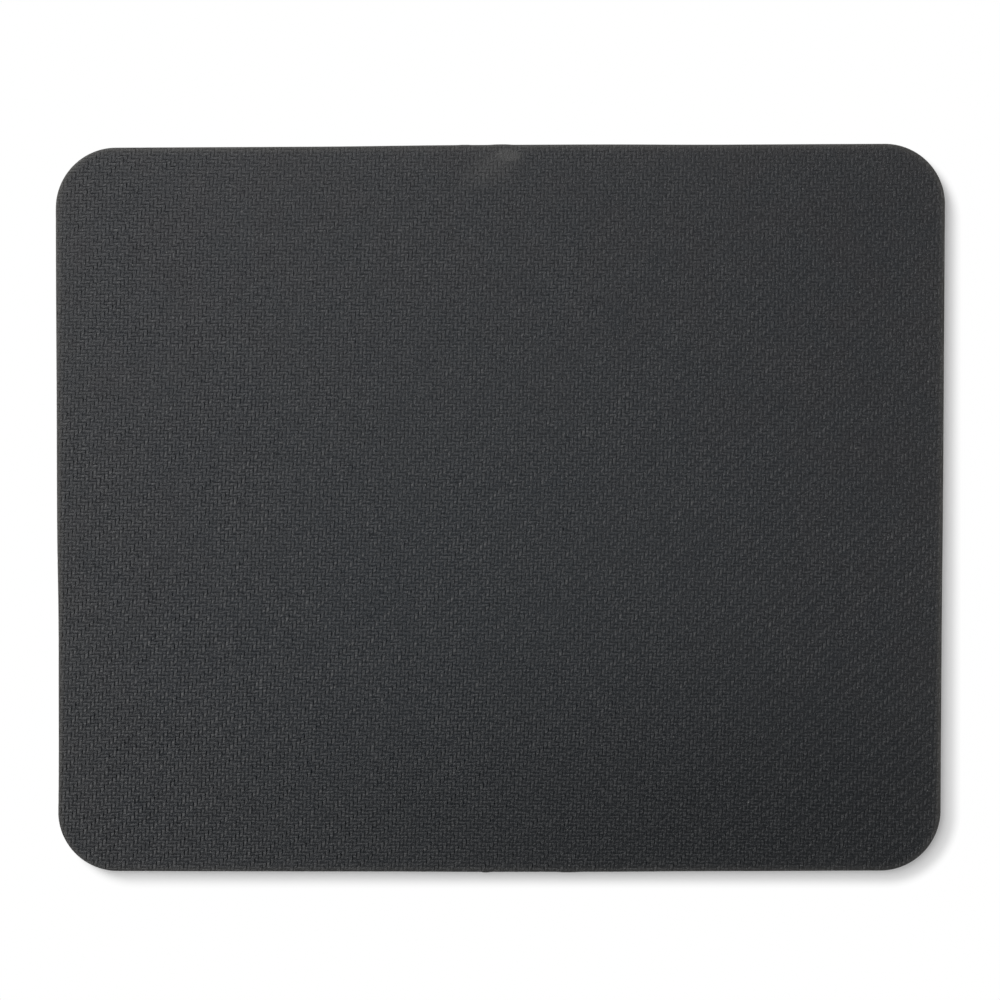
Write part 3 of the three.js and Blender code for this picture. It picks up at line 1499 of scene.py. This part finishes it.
@dataclass
class Studio:
    """The white table, the white room behind it, the lamp and the camera.

    Only the rays that show the table are brightened: its paper reflects a little more light
    and turns to even white past the pad's shadow. The light on the pad stays plain.
    """

    outline: CutOutline
    table_radius: float = 1.5
    table_sides: int = 96
    paper: Colour = (0.8, 0.8, 0.8)
    paper_seen: Colour = (0.65, 0.65, 0.65)
    paper_glow: float = 0.24
    fade_radius: float = 16.3 * MM
    fade_shift: tuple[float, float] = (2.6 * MM, -2.6 * MM)
    fade_from: float = -0.5 * MM
    fade_to: float = 2.6 * MM
    backdrop_top: float = math.radians(20)
    ceiling_from: float = math.radians(40)
    ambient: float = 0.297
    softbox_azimuth: float = math.radians(144)
    softbox_elevation: float = math.radians(49)
    softbox_distance: float = 1.0
    softbox_size: float = 1.25
    softbox_watts: float = 11.5
    softbox_aim: tuple[float, float, float] = (-0.3, -0.015, 0.0)
    camera_place: tuple[float, float, float] = (17.8 * MM, 31.3 * MM, 829.1 * MM)
    camera_turn_degrees: tuple[float, float, float] = (-2.009, 1.202, -0.203)
    camera_lens_mm: float = 120.0
    camera_sensor_mm: float = 36.0

    def seen_directly(self, graph: ShaderGraph) -> bpy.types.NodeSocket:
        """Tell the rays that show a surface from those that only carry its light.

        Args:
            graph: The material's graph.

        Returns:
            1 for camera, glossy and transmission rays, and 0 for the others.
        """
        rays = graph.add("ShaderNodeLightPath").outputs
        shiny = graph.maths("MAXIMUM", rays["Is Glossy Ray"], rays["Is Transmission Ray"])
        return graph.maths("MAXIMUM", rays["Is Camera Ray"], shiny)

    def mix_shaders(self, graph: ShaderGraph, share: object, first: object, second: object
                    ) -> bpy.types.NodeSocket:
        """Mix two shaders.

        Args:
            graph: The material's graph.
            share: How much of the second one shows.
            first: The first shader's socket.
            second: The second shader's socket.

        Returns:
            The mixed shader.
        """
        node = graph.add("ShaderNodeMixShader")
        for socket, value in zip(node.inputs, (share, first, second)):
            graph.feed(socket, value)
        return node.outputs[0]

    def away_from_pad(self, graph: ShaderGraph) -> bpy.types.NodeSocket:
        """Measure how far a place on the table lies from the pad and the shadow beside it.

        Args:
            graph: The material's graph.

        Returns:
            The distance to the pad's outline, moved to the side where its shadow falls.
        """
        places = graph.parts("ShaderNodeSeparateXYZ", graph.places)
        past = graph.add("ShaderNodeCombineXYZ")
        halves = (self.outline.half_length, self.outline.half_width)
        for axis, half in enumerate(halves):
            place = graph.maths("SUBTRACT", places[axis], self.fade_shift[axis])
            out = graph.maths("SUBTRACT", graph.maths("ABSOLUTE", place), half - self.fade_radius)
            graph.feed(past.inputs[axis], graph.maths("MAXIMUM", out, 0.0))
        away = graph.add("ShaderNodeVectorMath", operation="LENGTH")
        graph.feed(away.inputs[0], past.outputs[0])
        return graph.maths("SUBTRACT", away.outputs["Value"], self.fade_radius)

    def table_paper(self) -> bpy.types.Material:
        """Make the table's white paper.

        Returns:
            The material.
        """
        graph = ShaderGraph.named("table_paper")
        plain, bright = (graph.add("ShaderNodeBsdfDiffuse") for _ in range(2))
        graph.feed(plain.inputs["Color"], self.paper)
        graph.feed(bright.inputs["Color"], self.paper_seen)
        glow, white = (graph.add("ShaderNodeEmission") for _ in range(2))
        graph.feed(glow.inputs["Strength"], self.paper_glow)
        near = graph.add("ShaderNodeAddShader")
        graph.feed(near.inputs[0], bright.outputs[0])
        graph.feed(near.inputs[1], glow.outputs[0])
        fade = graph.ramp(self.away_from_pad(graph), self.fade_from, self.fade_to)
        seen = self.mix_shaders(graph, fade, near.outputs[0], white.outputs[0])
        direct = self.seen_directly(graph)
        return graph.output(self.mix_shaders(graph, direct, plain.outputs[0], seen))

    def build_table(self) -> None:
        """Make the table that the pad lies on."""
        table = bmesh.new()
        bmesh.ops.create_circle(
            table, cap_ends=True, segments=self.table_sides, radius=self.table_radius
        )
        mesh = to_mesh(table, "table")
        mesh.materials.append(self.table_paper())
        piece = bpy.data.objects.new("table", mesh)
        bpy.context.scene.collection.objects.link(piece)

    def build_room(self) -> None:
        """Fill the room with even light that shows as a white backdrop under a dim ceiling."""
        world = bpy.data.worlds.new("room")
        graph = ShaderGraph(world)
        height = graph.parts("ShaderNodeSeparateXYZ", graph.coordinates["Generated"])[2]
        levels = (math.sin(self.backdrop_top), math.sin(self.ceiling_from))
        backdrop = graph.ramp(height, *levels, 1.0, 0.0)
        shown = graph.maths("MULTIPLY", self.seen_directly(graph), backdrop)
        background = graph.add("ShaderNodeBackground")
        graph.feed(background.inputs["Color"], (1.0, 1.0, 1.0))
        graph.feed(background.inputs["Strength"], graph.ramp(shown, 0.0, 1.0, self.ambient, 1.0))
        graph.feed(graph.add("ShaderNodeOutputWorld").inputs["Surface"], background.outputs[0])
        bpy.context.scene.world = world

    def build_softbox(self) -> None:
        """Hang the round softbox, turned a little to the left of the pad."""
        data = bpy.data.lights.new("softbox", "AREA")
        data.shape = "DISK"
        data.size = self.softbox_size
        data.energy = self.softbox_watts
        lamp = bpy.data.objects.new("softbox", data)
        level = self.softbox_distance * math.cos(self.softbox_elevation)
        lamp.location = (
            level * math.cos(self.softbox_azimuth),
            level * math.sin(self.softbox_azimuth),
            self.softbox_distance * math.sin(self.softbox_elevation),
        )
        ahead = Vector(self.softbox_aim) - lamp.location
        lamp.rotation_euler = ahead.to_track_quat("-Z", "Y").to_euler()
        lamp.visible_camera = False
        bpy.context.scene.collection.objects.link(lamp)

    def build_camera(self) -> None:
        """Set the camera almost straight above the pad, as in the photograph."""
        data = bpy.data.cameras.new("camera")
        data.lens = self.camera_lens_mm
        data.sensor_width = self.camera_sensor_mm
        camera = bpy.data.objects.new("camera", data)
        camera.location = self.camera_place
        camera.rotation_euler = tuple(math.radians(turn) for turn in self.camera_turn_degrees)
        bpy.context.scene.collection.objects.link(camera)
        bpy.context.scene.camera = camera

    def build(self) -> None:
        """Set up everything that isn't the pad."""
        self.build_table()
        self.build_room()
        self.build_softbox()
        self.build_camera()
        bpy.context.scene.view_settings.view_transform = "Standard"


def write_sizes() -> None:
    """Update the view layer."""
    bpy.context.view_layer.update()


def main() -> None:
    """Build the studio and the layers in order, and report each piece."""
    logging.basicConfig(level=logging.INFO, format="%(name)s: %(message)s")
    low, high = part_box("cloth_face")
    outline = CutOutline(half_length=(high.x - low.x) / 2, half_width=(high.y - low.y) / 2)
    Studio(outline).build()
    for layer in (ClothFace(outline), BondingFilm(outline), SpongeCore(outline), GripSkin(outline)):
        layer.report(layer.build())
    write_sizes()


if __name__ == "__main__":
    main()
